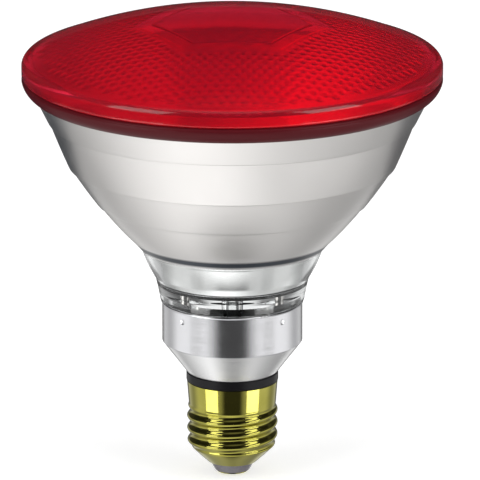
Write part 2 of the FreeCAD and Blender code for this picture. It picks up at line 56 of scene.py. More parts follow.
# %% Camera
ELEVATION = math.radians(15.9)
DISTANCE = 2.2
AIM = np.array([2.2, 0.0, 69.5]) * MM
FOCAL_LENGTH, SENSOR_WIDTH, FAR_CLIP = 577.3, 36.0, 100.0
camera_data = bpy.data.cameras.new("portrait_camera")
camera_data.lens = FOCAL_LENGTH
camera_data.sensor_width = SENSOR_WIDTH
camera_data.clip_end = FAR_CLIP
camera = bpy.data.objects.new("portrait_camera", camera_data)
camera.location = AIM + DISTANCE * np.array([0.0, -math.cos(ELEVATION), math.sin(ELEVATION)])
camera.rotation_euler = (math.pi / 2 - ELEVATION, 0.0, 0.0)
bpy.context.scene.collection.objects.link(camera)
bpy.context.scene.camera = camera
print("camera at", [round(value, 3) for value in camera.location])

# %% [markdown]
# ## Surfaces from grids
#
# A surface here is a grid of points worked out as whole arrays. Each row of the grid is one ring or one
# line, and each cell becomes a quad. A grid can close on itself, and it can end in a single point at each
# end, which is how a dome or a drop is closed at its pole. Spin and Screw modifiers could make the round
# pieces too, but a grid keeps every measure in the script, and the thread and the coil need it anyway.

# %% Grid surfaces


def mesh_piece(name, points, faces, sharp=None):
    """Object of points in millimetres and faces; with sharp, smooth but for creases over so many degrees."""
    mesh = bpy.data.meshes.new(name)
    mesh.from_pydata((np.asarray(points, float) * MM).tolist(), [], faces)
    if sharp is not None:
        mesh.shade_smooth()
        mesh.set_sharp_from_angle(angle=math.radians(sharp))
    piece = bpy.data.objects.new(name, mesh)
    bpy.context.scene.collection.objects.link(piece)
    print(f"{name}: {len(mesh.vertices)} points, {len(mesh.polygons)} faces")
    return piece


def ring_quads(lower, upper):
    """Quads between rows of point numbers, of which the last column joins the first."""
    return np.stack([lower, np.roll(lower, -1, 1), np.roll(upper, -1, 1), upper], -1).reshape(-1, 4)


def surface(name, grid, closed_rows=False, foot=None, head=None, sharp=35.0):
    """Mesh object of a grid of points shaped (rows, columns, 3), in millimetres.

    Point (i, j) joins (i, j+1) and (i+1, j), and the last column joins the first. With closed_rows the last
    row joins the first. foot and head are the pole points that close the first and the last row.
    The faces look outwards where the rows climb and the columns run anticlockwise seen from above."""
    rows, columns = grid.shape[:2]
    index = np.arange(rows * columns).reshape(rows, columns)
    lower = index if closed_rows else index[:-1]
    upper = np.roll(index, -1, 0) if closed_rows else index[1:]
    points = [grid.reshape(-1, 3)]
    faces = ring_quads(lower, upper).tolist()
    count = rows * columns
    if foot is not None:
        points.append(np.array([foot], float))
        faces += np.stack([np.roll(index[0], -1), index[0], np.full(columns, count)], -1).tolist()
        count += 1
    if head is not None:
        points.append(np.array([head], float))
        faces += np.stack([index[-1], np.roll(index[-1], -1), np.full(columns, count)], -1).tolist()
    return mesh_piece(name, np.concatenate(points), faces, sharp)


def rings(profile, angle):
    """Points of a surface of revolution at the angles: x = r cos a, y = r sin a, z = z, for each (r, z)."""
    profile = np.asarray(profile, float)
    grid = np.empty((len(profile), len(angle), 3))
    grid[..., :2] = profile[:, None, :1] * np.stack([np.cos(angle), np.sin(angle)], -1)
    grid[..., 2] = profile[:, 1:]
    return grid


def turned_grid(profile, around):
    """Rings of a surface of revolution at even angles, 2 pi k / around."""
    return rings(profile, np.arange(around) * 2 * np.pi / around)


def arc(start, end, bow, steps):
    """Points of a shallow arc between two (r, z) points, which bows to the right of its run by bow.

    The point at share t is the chord's point plus 4 t (1 - t) times the bow, square to the chord."""
    start, end = np.asarray(start, float), np.asarray(end, float)
    share = np.linspace(0, 1, steps + 1)[:, None]
    along = end - start
    side = np.array([along[1], -along[0]]) / np.hypot(*along)
    return start + along * share + side * bow * 4 * share * (1 - share)


LONGEST_STEP = 0.45


def soften(corners, radius, steps):
    """Rounds the inner corners of a profile: each becomes a curve that starts and ends radius away from it.

    The curve's point at share t is (1-t)^2 times the entry, 2t(1-t) times the corner and t^2 times the exit.
    On a short side the radius is held to LONGEST_STEP of it, so that two curves never meet."""
    corners = np.asarray(corners, float)
    before, corner, after = corners[:-2], corners[1:-1], corners[2:]

    def step(other):
        gap = other - corner
        length = np.hypot(gap[:, 0], gap[:, 1])[:, None]
        return corner + gap / length * np.minimum(radius, length * LONGEST_STEP)

    share = np.linspace(0, 1, steps + 1)[None, :, None]
    entry, leaving, middle = step(before)[:, None], step(after)[:, None], corner[:, None]
    rounded = entry * (1 - share) ** 2 + middle * 2 * share * (1 - share) + leaving * share ** 2
    return np.concatenate([corners[:1], rounded.reshape(-1, 2), corners[-1:]])


# %% [markdown]
# ## Materials
#
# Every finish is built from nodes on Object coordinates, which are metres here, so a pattern's scale is the
# real one. Image textures could carry the same patterns, but they would need files and unwrapped pieces. A
# helper adds the Principled shader and sets its own sockets; the patterns are linked after it.

# %% Node helpers


def finish(name, **values):
    """New material with a Principled shader; each keyword sets the socket of that name."""
    material = bpy.data.materials.new(name)
    material.use_nodes = True
    for socket, value in values.items():
        shader_of(material).inputs[socket.replace("_", " ")].default_value = value
    return material


def shader_of(material):
    return material.node_tree.nodes["Principled BSDF"]


def node(holder, kind, **values):
    """New node in a material or the world, with its attributes and sockets set by name."""
    made = holder.node_tree.nodes.new(kind)
    for key, value in values.items():
        if key in made.inputs:
            made.inputs[key].default_value = value
        else:
            setattr(made, key, value)
    return made


def link(holder, source, target):
    holder.node_tree.links.new(source, target)


def calculate(holder, operation, *values):
    """Math node, whose inputs are numbers or other nodes' outputs."""
    made = node(holder, "ShaderNodeMath", operation=operation)
    for socket, value in zip(made.inputs, values):
        if isinstance(value, (int, float)):
            socket.default_value = value
        else:
            link(holder, value, socket)
    return made.outputs["Value"]


def ranged(holder, value, start, end, low, high, interpolation="LINEAR"):
    """The value, mapped from start...end on to low...high and held inside it."""
    made = node(holder, "ShaderNodeMapRange", interpolation_type=interpolation)
    for socket, setting in (("From Min", start), ("From Max", end), ("To Min", low), ("To Max", high)):
        made.inputs[socket].default_value = setting
    link(holder, value, made.inputs["Value"])
    return made.outputs["Result"]


def ramp(holder, value, *stops, interpolation="LINEAR"):
    """Colour ramp through (position, colour) stops, read at the value."""
    made = node(holder, "ShaderNodeValToRGB")
    made.color_ramp.interpolation = interpolation
    elements = made.color_ramp.elements
    for index, (position, color) in enumerate(stops):
        if index < 2:
            stop = elements[index]
            stop.position = position
        else:
            stop = elements.new(position)
        stop.color = (*color, 1.0)
    link(holder, value, made.inputs["Fac"])
    return made.outputs["Color"]


# %% Places and patterns


def place(material, scale=(1, 1, 1)):
    """Object coordinates, stretched by the three scales."""
    mapping = node(material, "ShaderNodeMapping", Scale=scale)
    link(material, node(material, "ShaderNodeTexCoord").outputs["Object"], mapping.inputs["Vector"])
    return mapping.outputs["Vector"]


def height_of(material):
    """Height above the tip of the cap, in metres."""
    split = node(material, "ShaderNodeSeparateXYZ")
    link(material, node(material, "ShaderNodeTexCoord").outputs["Object"], split.inputs["Vector"])
    return split.outputs["Z"]


def radius_of(material):
    """Distance from the lamp's axis, in metres."""
    flat = node(material, "ShaderNodeVectorMath", operation="LENGTH")
    link(material, place(material, (1, 1, 0)), flat.inputs[0])
    return flat.outputs["Value"]


def noise(material, scale, detail=3.0, stretch=(1.0, 1.0, 1.0)):
    """Noise value between 0 and 1, with scale waves to the metre."""
    texture = node(material, "ShaderNodeTexNoise", Scale=scale, Detail=detail)
    link(material, place(material, stretch), texture.inputs["Vector"])
    return texture.outputs["Fac"]


def roughen(material, value, low, high, start=0.3, end=0.7):
    """Roughness that runs from low to high with the value."""
    link(material, ranged(material, value, start, end, low, high), shader_of(material).inputs["Roughness"])


def tint(material, value, low, high, start=0.3, end=0.7):
    """Base colour that runs between two colours with the value."""
    link(material, ramp(material, value, (start, low), (end, high)), shader_of(material).inputs["Base Color"])


def grain(material, value, height, strength):
    """Bump of the given height in millimetres."""
    bump = node(material, "ShaderNodeBump", Strength=strength, Distance=height * MM)
    link(material, value, bump.inputs["Height"])
    link(material, bump.outputs["Normal"], shader_of(material).inputs["Normal"])


# %% Dressing


def dress(piece, material, replaced):
    """Gives a new piece its material, rides it on the lamp and names the CAD node that it stands for."""
    piece.data.materials.append(material)
    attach(piece, "root")
    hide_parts(replaced)
    print(f"{piece.name} wears {material.name} and stands for {replaced}")


def redress(material, *names):
    """Puts the material on CAD nodes that keep their shape."""
    for name in names:
        for slot in nodes[name].material_slots:
            slot.link = "OBJECT"
            slot.material = material
    print(", ".join(names), "in", material.name)


# %% [markdown]
# ## The lens
#
# The real lens is pressed in one go: smooth outside, and patterned inside with rows of small convex
# lenticules that spread the heat. A plain hexagon with a border sits in the middle. The lenticules lie on a
# triangular lattice, so their rows run along the hexagon's sides in each of its six directions. A displaced
# sphere could carry the pattern, but its mesh would cut across the creases. The inside is therefore worked
# out on a finer lattice of the same directions, and every crease falls on mesh edges.

# %% Lens sizes
ROOT_3 = math.sqrt(3)
SEAM_Z, SEAM_GROOVE = 118.3, 0.55
RIM_RADIUS, MIRROR_RIM = 59.9, 56.0
SHOULDER_RADIUS, SHOULDER_Z = 57.8, SEAM_Z + 5.4
RIM_WALL_DROP, ROLL_DROP, ROLL_BOW = 2.6, 2.0, 0.45
DOME_RISE = 11.6
DOME_RADIUS = (SHOULDER_RADIUS ** 2 + DOME_RISE ** 2) / (2 * DOME_RISE)
DOME_CENTRE_Z = SHOULDER_Z + DOME_RISE - DOME_RADIUS
LENS_WALL = 3.4
PITCH, CELLS = 3.0, 6
FINE = PITCH / CELLS
LENTICULE_HEIGHT = 0.18
PATTERN_RADIUS = 53.0
PANEL_HEX, BORDER_HEX = 44 * FINE, 53 * FINE
PATTERN_HEX = BORDER_HEX + PITCH / 3
PANEL_CUT, BORDER_CUT, RIDGE_CUT, ON_EDGE = 0.5, 0.35, 0.25, 0.01
print("lenticule pitch", PITCH, "mm, dome radius", round(DOME_RADIUS, 1), "mm")

# %% The lattice inside the lens


def hexagon_radius(x, y):
    """Corner radius of the hexagon, with corners on the X axis, whose outline goes through the point."""
    flat = np.maximum(np.abs(y), np.abs(ROOT_3 / 2 * x) + np.abs(y) / 2)
    return flat / (ROOT_3 / 2)


def lattice(limit):
    """Whole-number lattice coordinates (i, j) with their x and y, and which lie within limit of the axis.

    x = (i + j / 2) times the fine pitch, and y = j times the fine pitch times sqrt(3) / 2."""
    reach = int(limit / FINE * 1.2)
    i, j = np.meshgrid(np.arange(-reach, reach + 1), np.arange(-reach, reach + 1), indexing="ij")
    x, y = (i + j / 2) * FINE, j * FINE * ROOT_3 / 2
    return i, j, x, y, np.hypot(x, y) <= limit


def relief(i, j, x, y):
    """Depth of the pressed pattern, in mm: how far the inner face stands below the plain inner dome.

    Each lenticule is a cap 1 - (d / D)^2, where d is the distance to its centre and D its corner distance.
    Inside the border and the hexagon the face is cut back towards the outside instead, with a low ridge
    between the two."""
    base_i, base_j = i // CELLS * CELLS, j // CELLS * CELLS
    best = np.full(x.shape, np.inf)
    centre_x, centre_y = np.zeros(x.shape), np.zeros(x.shape)
    for di, dj in ((0, 0), (CELLS, 0), (0, CELLS), (CELLS, CELLS)):
        cx = (base_i + di + (base_j + dj) / 2) * FINE
        cy = (base_j + dj) * FINE * ROOT_3 / 2
        distance = np.hypot(x - cx, y - cy)
        nearer = distance < best - 1e-9
        best = np.where(nearer, distance, best)
        centre_x, centre_y = np.where(nearer, cx, centre_x), np.where(nearer, cy, centre_y)
    cap = LENTICULE_HEIGHT * (1 - (best / (PITCH / ROOT_3)) ** 2)
    patterned = (hexagon_radius(centre_x, centre_y) > PATTERN_HEX) \
        & (np.hypot(centre_x, centre_y) < PATTERN_RADIUS)
    hexagon = hexagon_radius(x, y)
    pressed = np.where(hexagon <= BORDER_HEX + ON_EDGE, -BORDER_CUT, 0.0)
    pressed = np.where(hexagon <= PANEL_HEX + ON_EDGE, -PANEL_CUT, pressed)
    pressed = np.where(np.abs(hexagon - PANEL_HEX) < ON_EDGE, -RIDGE_CUT, pressed)
    return np.where(patterned, cap, pressed)


# %% The net of the inner face


def net_of(inside):
    """Triangles of the lattice whose corners all lie inside, as point numbers, and the points they use."""
    a, b, c, d = inside[:-1, :-1], inside[1:, :-1], inside[:-1, 1:], inside[1:, 1:]
    up, down = a & b & c, b & d & c
    used = np.zeros(inside.shape, bool)
    for mask, corners in ((up, ((0, 0), (1, 0), (0, 1))), (down, ((1, 0), (1, 1), (0, 1)))):
        for di, dj in corners:
            used[di:di + mask.shape[0], dj:dj + mask.shape[1]] |= mask
    count = np.full(inside.shape, -1)
    count[used] = np.arange(used.sum())
    a, b, c, d = count[:-1, :-1], count[1:, :-1], count[:-1, 1:], count[1:, 1:]
    return np.concatenate([
        np.stack([a[up], c[up], b[up]], -1), np.stack([b[down], c[down], d[down]], -1)]), used


def rim_of(faces):
    """Points on the net's outer edge, which are those of the edges that only one triangle has."""
    edges = np.sort(faces[:, [0, 1, 1, 2, 2, 0]].reshape(-1, 2), 1)
    unique, uses = np.unique(edges, axis=0, return_counts=True)
    return np.unique(unique[uses == 1])


def inner_face():
    """Points and triangles of the patterned inner face, and the rim's points and angles in order.

    The inner dome is z = c + sqrt((R - wall)^2 - r^2) - relief. Its outermost points are moved out on to a
    circle."""
    i, j, x, y, inside = lattice(MIRROR_RIM)
    faces, used = net_of(inside)
    x, y, depth = x[used], y[used], relief(i, j, x, y)[used]
    rim = rim_of(faces)
    angle = np.arctan2(y[rim], x[rim])
    order = np.argsort(angle)
    rim, angle = rim[order], angle[order]
    x[rim], y[rim], depth[rim] = MIRROR_RIM * np.cos(angle), MIRROR_RIM * np.sin(angle), 0.0
    z = DOME_CENTRE_Z + np.sqrt((DOME_RADIUS - LENS_WALL) ** 2 - x ** 2 - y ** 2) - depth
    return np.stack([x, y, z], -1), faces, rim, angle


# %% Lens mesh


def outer_profile():
    """(r, z) points of the seam face, the rim wall, the rolled rim and the dome z = c + sqrt(R^2 - r^2)."""
    roll = arc((RIM_RADIUS, SHOULDER_Z - ROLL_DROP), (SHOULDER_RADIUS, SHOULDER_Z), ROLL_BOW, 10)
    turn = np.linspace(math.asin(SHOULDER_RADIUS / DOME_RADIUS), 0, 36)[1:-1]
    dome = np.stack([DOME_RADIUS * np.sin(turn), DOME_CENTRE_Z + DOME_RADIUS * np.cos(turn)], -1)
    wall = [(MIRROR_RIM, SEAM_Z), (RIM_RADIUS - SEAM_GROOVE, SEAM_Z),
            (RIM_RADIUS, SEAM_Z + SEAM_GROOVE), (RIM_RADIUS, SHOULDER_Z - RIM_WALL_DROP)]
    shoulder = soften([roll[-2], roll[-1], dome[0]], 0.6, 5)[1:-1]
    return np.concatenate([soften(wall, 0.25, 3), roll[:-1], shoulder, dome])


def lens_piece():
    """One closed mesh: the inner face, then rings at its rim's angles up the outside, and the pole."""
    inner, inner_faces, rim, angle = inner_face()
    outer = rings(outer_profile(), angle)
    outer_count = outer.shape[0] * outer.shape[1]
    index = len(inner) + np.arange(outer_count).reshape(outer.shape[:2])
    index = np.concatenate([rim[None], index])
    pole = np.full(len(rim), len(inner) + outer_count)
    cap = np.stack([index[-1], np.roll(index[-1], -1), pole], -1)
    points = np.concatenate([inner, outer.reshape(-1, 3), [[0, 0, DOME_CENTRE_Z + DOME_RADIUS]]])
    faces = inner_faces.tolist() + ring_quads(index[:-1], index[1:]).tolist() + cap.tolist()
    return mesh_piece("lens_glass", points, faces, sharp=24)


lens = lens_piece()

# %% [markdown]
# ## Red glass
#
# The glass is coloured through, so light gets redder the more of it it crosses. A volume that absorbs would
# do that, at the cost of a slow and noisy render. A clear Principled glass with a red base colour does it
# at each surface, which is enough for a wall of even thickness. A lenticule is thicker in its middle and
# redder there, so the inner face's colour follows the lattice: the sum of three cosines, one square to each
# direction of the rows, is highest in the middle of each lenticule. The plain hexagon is thinner glass, yet it
# is painted almost the darkest red: that is painted shade.

# %% Lattice colour
# Share of the darkest red that the plain hexagon gets: painted shade, not thickness.
PANEL_PAINTED_SHADE = 0.95


def along_rows(material):
    """Distances from the axis square to the three directions of the rows: y and (sqrt(3) x +- y) / 2."""
    distances = []
    for across in ((0, 1, 0), (ROOT_3 / 2, 0.5, 0), (ROOT_3 / 2, -0.5, 0)):
        product = node(material, "ShaderNodeVectorMath", operation="DOT_PRODUCT")
        link(material, place(material), product.inputs[0])
        product.inputs[1].default_value = across
        distances.append(product.outputs["Value"])
    return distances


def on_inner_face(material):
    """1 nearer to the dome's centre than the middle of the wall is, and 0 outside that."""
    from_centre = node(material, "ShaderNodeVectorMath", operation="DISTANCE")
    link(material, place(material), from_centre.inputs[0])
    from_centre.inputs[1].default_value = (0, 0, DOME_CENTRE_Z * MM)
    middle = (DOME_RADIUS - LENS_WALL / 2) * MM
    return calculate(material, "LESS_THAN", from_centre.outputs["Value"], middle)


def lattice_share(material):
    """1 in the middle of each lenticule, 0.95 in the hexagon as painted shade, at most 0 elsewhere and
    outside.

    The three cosines add up to between -1.5 and 3, and 0.4 of that less 0.1 is the share."""
    wave = 4 * math.pi / (ROOT_3 * PITCH * MM)
    total, reach = 0.0, 0.0
    for distance in along_rows(material):
        cosine = calculate(material, "COSINE", calculate(material, "MULTIPLY", distance, wave))
        total = calculate(material, "ADD", total, cosine)
        reach = calculate(material, "MAXIMUM", reach, calculate(material, "ABSOLUTE", distance))
    share = calculate(material, "MULTIPLY_ADD", total, 0.4, -0.1)
    around_hexagon = calculate(material, "GREATER_THAN", reach, PATTERN_HEX * ROOT_3 / 2 * MM)
    inside_rim = calculate(material, "LESS_THAN", radius_of(material), PATTERN_RADIUS * MM)
    dots = calculate(material, "MULTIPLY", calculate(material, "MULTIPLY", share, around_hexagon), inside_rim)
    # Painted shade: the plain hexagon is set almost to the darkest red.
    in_panel = calculate(material, "LESS_THAN", reach, PANEL_HEX * ROOT_3 / 2 * MM)
    panel_shade = calculate(material, "MULTIPLY", in_panel, PANEL_PAINTED_SHADE)
    either = calculate(material, "MAXIMUM", dots, panel_shade)
    return calculate(material, "MULTIPLY", either, on_inner_face(material))


# %% Red glass finish
# The darker red is the thicker glass in each lenticule, and painted shade in the plain hexagon.
THIN_RED, THICK_AND_SHADED_RED = (0.9, 0.024, 0.066), (0.46, 0.013, 0.03)
red_glass = finish(
    "ruby_glass", Base_Color=(*THIN_RED, 1), Roughness=0.03, IOR=1.5, Transmission_Weight=0.86,
    Specular_IOR_Level=0.12)
grain(red_glass, noise(red_glass, 240.0), 0.02, 0.4)
tint(red_glass, lattice_share(red_glass), THIN_RED, THICK_AND_SHADED_RED, 0.1, 0.9)
roughen(red_glass, radius_of(red_glass), 0.03, 0.1, 0.0545, 0.0565)
dress(lens, red_glass, "lens")

# %% [markdown]
# ## The bowl
#
# The bowl is pressed glass with an aluminium mirror inside. Through the slightly frosted outside of the
# glass the mirror looks like satin silver, and the steps of the mould show as terraces. Lower down the glass
# is polished and clear, and the parts inside it show. It could be one mesh with painted zones, but a mirror
# behind frosted glass takes many bounces to render. So the bowl is made in four pieces that share its
# outline: the red-coated flange, the silver terraces, the mirror film inside, and the clear neck.

# %% Bowl profile
SKIRT_TOP_Z = 52.3
VERTEX_Z = SKIRT_TOP_Z + 7.9
FOCAL = 13.5
BAND_RADII = (54.2, 50.3, 43.2, 35.9, 26.1)
TOP_WALLS = (2.4, 2.25, 3.8, 3.35)
FOOT_WALLS = (2.6, 4.2, 3.7, 3.35)
AROUND, CREASE, BAND_POINTS = 256, 50, 14


def mirror_point(radius):
    """Point (r, z) of the paraboloid z = vertex + r^2 / 4f."""
    radius = np.asarray(radius, float)
    return np.stack([radius, VERTEX_Z + radius ** 2 / (4 * FOCAL)], -1)


def behind_mirror(radius, wall):
    """Point one wall outside the paraboloid: the mirror's point plus wall (s, -1) / |(s, -1)|, s the slope."""
    radius, wall = np.asarray(radius, float), np.asarray(wall, float)
    slope = radius / (2 * FOCAL)
    away = np.stack([slope, -np.ones_like(slope)], -1) / np.hypot(slope, 1)[..., None]
    return mirror_point(radius) + away * wall[..., None]


def band(index):
    """One terrace from its foot up to its top, with a wall that changes evenly between the two."""
    share = np.linspace(0, 1, BAND_POINTS)
    radius = BAND_RADII[index + 1] + (BAND_RADII[index] - BAND_RADII[index + 1]) * share
    wall = FOOT_WALLS[index] + (TOP_WALLS[index] - FOOT_WALLS[index]) * share
    return behind_mirror(radius, wall)


bands = [band(index) for index in (3, 2, 1, 0)]
bowl_foot, bowl_top = bands[0][0], bands[-1][-1]
FLANGE_STEP, LEDGE_SHARE = 2.9, 0.78
flange_foot = np.array([RIM_RADIUS - FLANGE_STEP, bowl_top[1]])
NECK_TOP = np.array([25.9, SKIRT_TOP_Z + 15.2])
ledge_foot = bowl_foot + LEDGE_SHARE * (NECK_TOP - bowl_foot)
print("bowl foot", bowl_foot.round(2), "flange foot", flange_foot.round(2))

# %% Silver terraces
terraces = [soften([ledge_foot, bowl_foot, bands[0][2]], 0.9, 6), bands[0][3:-2]]
for lower, upper in zip(bands, bands[1:]):
    step = soften([lower[-2], lower[-1], upper[0], upper[1]], 0.35, 4)
    terraces += [step, upper[2:] if upper is bands[-1] else upper[2:-2]]
behind = mirror_point(np.linspace(bowl_top[0] - 1.5, BAND_RADII[-1], 40))
bowl = surface("bowl_silver", turned_grid(np.concatenate([*terraces, behind]), AROUND),
               closed_rows=True, sharp=CREASE)

# %% Red flange
FLANGE_TOP_Z, SEAM_GAP = SEAM_Z - SEAM_GROOVE, 0.02
flange_roll = arc(flange_foot, (RIM_RADIUS, FLANGE_TOP_Z - 0.5), 0.55, 12)
flange_edge = [(RIM_RADIUS, FLANGE_TOP_Z - 0.4), (RIM_RADIUS, FLANGE_TOP_Z),
               (RIM_RADIUS - SEAM_GROOVE, SEAM_Z - SEAM_GAP), (MIRROR_RIM + 0.1, SEAM_Z - SEAM_GAP)]
flange_back = mirror_point(np.linspace(MIRROR_RIM, bowl_top[0] - 1.4, 6))[1:] + (0.1, 0.0)
flange_profile = np.concatenate([flange_roll, soften(flange_edge, 0.25, 3), flange_back, [bowl_top]])
flange = surface("flange_red", turned_grid(flange_profile, AROUND), closed_rows=True, sharp=CREASE)

# %% Mirror film
HEEL_Z = VERTEX_Z - 5.8
FLOOR_Z = HEEL_Z + 2.6
WELL_TOP = mirror_point(22.4)
WELL_FOOT = np.array([18.2, FLOOR_Z])
HOLE_RADIUS, FILM_EDGE, WELL_ROUNDING = 2.0, 0.6, 2.4
FILM_OUTSIDE, FILM_INSIDE = 0.04, 0.2


def well_line(gap):
    """Inside of the glass from the floor's hole out and up to the paraboloid, moved inwards by gap."""
    hole, foot, top = (HOLE_RADIUS, FLOOR_Z + gap), WELL_FOOT + (-gap, gap), WELL_TOP + (-gap, 0)
    corner = soften([hole, foot, top], WELL_ROUNDING, 8)[1:-1]
    bottom = np.linspace(hole, corner[0], 9)[:-1]
    wall = np.linspace(corner[-1], top, 7)[1:]
    return np.concatenate([bottom, corner, wall])


def mirror_line(gap):
    """The whole inside: across most of the pump hole, the well, then the paraboloid out to the rim."""
    dish = mirror_point(np.linspace(WELL_TOP[0], MIRROR_RIM - 0.2, 60)[1:]) + (0, gap)
    return np.concatenate([[(FILM_EDGE, FLOOR_Z + gap)], well_line(gap), dish])


film_profile = np.concatenate([mirror_line(FILM_OUTSIDE), mirror_line(FILM_INSIDE)[::-1]])
film = surface("mirror_film", turned_grid(film_profile, 192), closed_rows=True, sharp=60)

# %% [markdown]
# ## The clear neck
#
# Below the terraces the glass is clear. Its thick floor carries two cone-shaped bosses, which the ferrules
# are sealed to. They could be joined on with Booleans, which leave long thin faces that show in clear glass.
# The floor's underside is a ring-shaped grid instead, and a smooth step in its height makes the bosses, so
# the whole neck stays one closed surface.

# %% Neck
BOSS_X, BOSS_HEIGHT, BOSS_FOOT = 9.0, 2.9, 4.6
COLLAR_RADIUS, COLLAR_BORE, COLLAR_FOOT_Z = 19.35, 16.75, 43.3
NECK_FOOT = (20.6, SKIRT_TOP_Z + 0.1)
WAIST = (22.0, SKIRT_TOP_Z + 6.8)
HEEL_RINGS = 60


def boss_drop(grid):
    """Height of the bosses under the heel: full within 3.6 mm of either boss's axis, none beyond 4.6 mm."""
    distance = np.hypot(np.abs(grid[..., 0]) - BOSS_X, grid[..., 1])
    return BOSS_HEIGHT * np.clip(BOSS_FOOT - distance, 0, 1)


neck_outside = np.concatenate([
    [(COLLAR_RADIUS, COLLAR_FOOT_Z), (COLLAR_RADIUS, NECK_FOOT[1])], arc(NECK_FOOT, WAIST, -0.08, 8),
    arc(WAIST, NECK_TOP, 0.25, 14)[1:], [ledge_foot]])
neck_inside = np.concatenate([mirror_point(np.array([26.1, 24.9, 23.6])), well_line(0.0)[::-1]])
heel = np.stack([np.linspace(HOLE_RADIUS, COLLAR_BORE, HEEL_RINGS), np.full(HEEL_RINGS, HEEL_Z)], -1)
neck_profile = np.concatenate([
    soften(neck_outside, 0.3, 3), neck_inside, heel, [(COLLAR_BORE, COLLAR_FOOT_Z)]])
neck_grid = turned_grid(neck_profile, AROUND)
neck_grid[-1 - HEEL_RINGS:-1, :, 2] -= boss_drop(neck_grid[-1 - HEEL_RINGS:-1])
neck = surface("neck_glass", neck_grid, closed_rows=True, sharp=CREASE)

# %% [markdown]
# ## Silver, mirror and clear glass
#
# The terraces look like satin metal, so they are a rough metal with a thin coat, a little uneven as pressed
# glass is. Just above the neck the mirror bends away behind the thick glass and shows as a dark line round
# the bowl; real refraction could draw it, and a band in the base colour at that height does so for less.

# %% Silver and red coat
PALE_SILVER, NECK_SILVER, DARK_LINE = (0.8, 0.78, 0.76), (0.8, 0.79, 0.78), (0.05, 0.06, 0.075)
satin_silver = finish(
    "satin_silver", Base_Color=(*PALE_SILVER, 1), Metallic=1.0, Roughness=0.3, Coat_Weight=0.2,
    Coat_Roughness=0.3)
roughen(satin_silver, noise(satin_silver, 90.0), 0.29, 0.34)
grain(satin_silver, noise(satin_silver, 900.0, 4.0), 0.005, 0.2)
line_height = ranged(satin_silver, height_of(satin_silver), 0.067, 0.075, 0.0, 1.0)
silver_colour = ramp(satin_silver, line_height, (0.18, NECK_SILVER), (0.27, DARK_LINE), (0.42, DARK_LINE),
                     (0.52, PALE_SILVER))
link(satin_silver, silver_colour, shader_of(satin_silver).inputs["Base Color"])
red_coat = finish("red_coat", Base_Color=(0.09, 0.005, 0.009, 1), Roughness=0.35, Specular_IOR_Level=0.15)
grain(red_coat, noise(red_coat, 500.0), 0.02, 0.3)
dress(bowl, satin_silver, "reflector")
dress(flange, red_coat, "reflector")

# %% Mirror and clear glass
mirror_finish = finish("mirror_coating", Base_Color=(0.9, 0.89, 0.88, 1), Metallic=1.0, Roughness=0.03)
grain(mirror_finish, noise(mirror_finish, 160.0), 0.03, 0.3)
roughen(mirror_finish, height_of(mirror_finish), 0.14, 0.03, 0.072, 0.08)
clear_glass = finish("clear_glass", Base_Color=(0.97, 0.985, 0.985, 1), Roughness=0.01, IOR=1.5,
                     Transmission_Weight=1.0)
grain(clear_glass, noise(clear_glass, 150.0), 0.03, 0.3)
dress(film, mirror_finish, "reflector")
dress(neck, clear_glass, "reflector")
redress(clear_glass, "support_bridge", "exhaust_tube", "fuse_sleeve")

# %% [markdown]
# ## The screw shell
#
# The thread is rolled into thin brass. A Screw modifier could sweep one wave of it, but the ends would stop
# short. Here the radius is a wave in height and angle, r = mean + depth times
# cos(2 pi (z / pitch - angle / turn)), so the crest climbs one pitch in each turn to the right. The wave
# fades out into the cone below it and the plain band above it.

# %% Screw shell sizes
SHELL_Z, THREAD_Z, BAND_Z, RING_Z = 3.9, 9.5, 21.3, 28.1
TIP_RADIUS, CONE_SLOPE, SHOULDER = 7.2, 1.08, 0.45
CREST, ROOT, THREAD_PITCH, FADE = 13.05, 12.15, 3.629, 1.6
THREAD_START = math.radians(260)
BAND_RADIUS, LIP_RADIUS, SHELL_WALL = 12.5, 13.05, 0.4


def ease(value):
    """Smooth step: 3t^2 - 2t^3 of the value, held between 0 and 1."""
    value = np.clip(value, 0, 1)
    return value * value * (3 - 2 * value)


def shell_radius(z, angle):
    """Outer radius of the shell: rounded cone, thread wave, plain band and flared lip."""
    mean, depth = (CREST + ROOT) / 2, (CREST - ROOT) / 2
    cone = TIP_RADIUS + CONE_SLOPE * (z - SHELL_Z)
    body = (cone + mean) / 2 - np.hypot((cone - mean) / 2, SHOULDER)
    body = body + (BAND_RADIUS - body) * ease((z - BAND_Z + FADE) / FADE)
    body = body + (LIP_RADIUS - BAND_RADIUS) * np.clip((z - BAND_Z) / (RING_Z - BAND_Z), 0, 1)
    fade = ease((z - THREAD_Z + FADE) / FADE) * ease((BAND_Z - z) / FADE)
    turn = z / THREAD_PITCH - (angle - THREAD_START) / (2 * math.pi)
    return body + depth * fade * np.cos(2 * math.pi * turn)


# %% Screw shell mesh
CONE_TOP_Z, BAND_FOOT_Z, LIP_FOOT_Z, TINY = 7.6, BAND_Z + 0.4, RING_Z - 1.1, 0.04
shell_z = np.concatenate([
    np.linspace(SHELL_Z, CONE_TOP_Z, 12)[:-1], np.linspace(CONE_TOP_Z, BAND_FOOT_Z, 112)[:-1],
    np.linspace(BAND_FOOT_Z, LIP_FOOT_Z, 5)[:-1], np.linspace(LIP_FOOT_Z, RING_Z, 10)])
z_grid, angle_grid = np.meshgrid(shell_z, np.arange(168) * 2 * np.pi / 168, indexing="ij")
outer_radius = shell_radius(z_grid, angle_grid)
slope = (shell_radius(z_grid + TINY, angle_grid) - shell_radius(z_grid - TINY, angle_grid)) / (2 * TINY)
inner_radius = outer_radius - SHELL_WALL * np.hypot(1, slope)
both = np.concatenate([outer_radius, inner_radius[::-2]])
both_z = np.concatenate([z_grid, z_grid[::-2]])
both_angle = np.concatenate([angle_grid, angle_grid[::-2]])
shell = surface("screw_thread", np.stack([both * np.cos(both_angle), both * np.sin(both_angle), both_z], -1),
                closed_rows=True, sharp=CREASE)

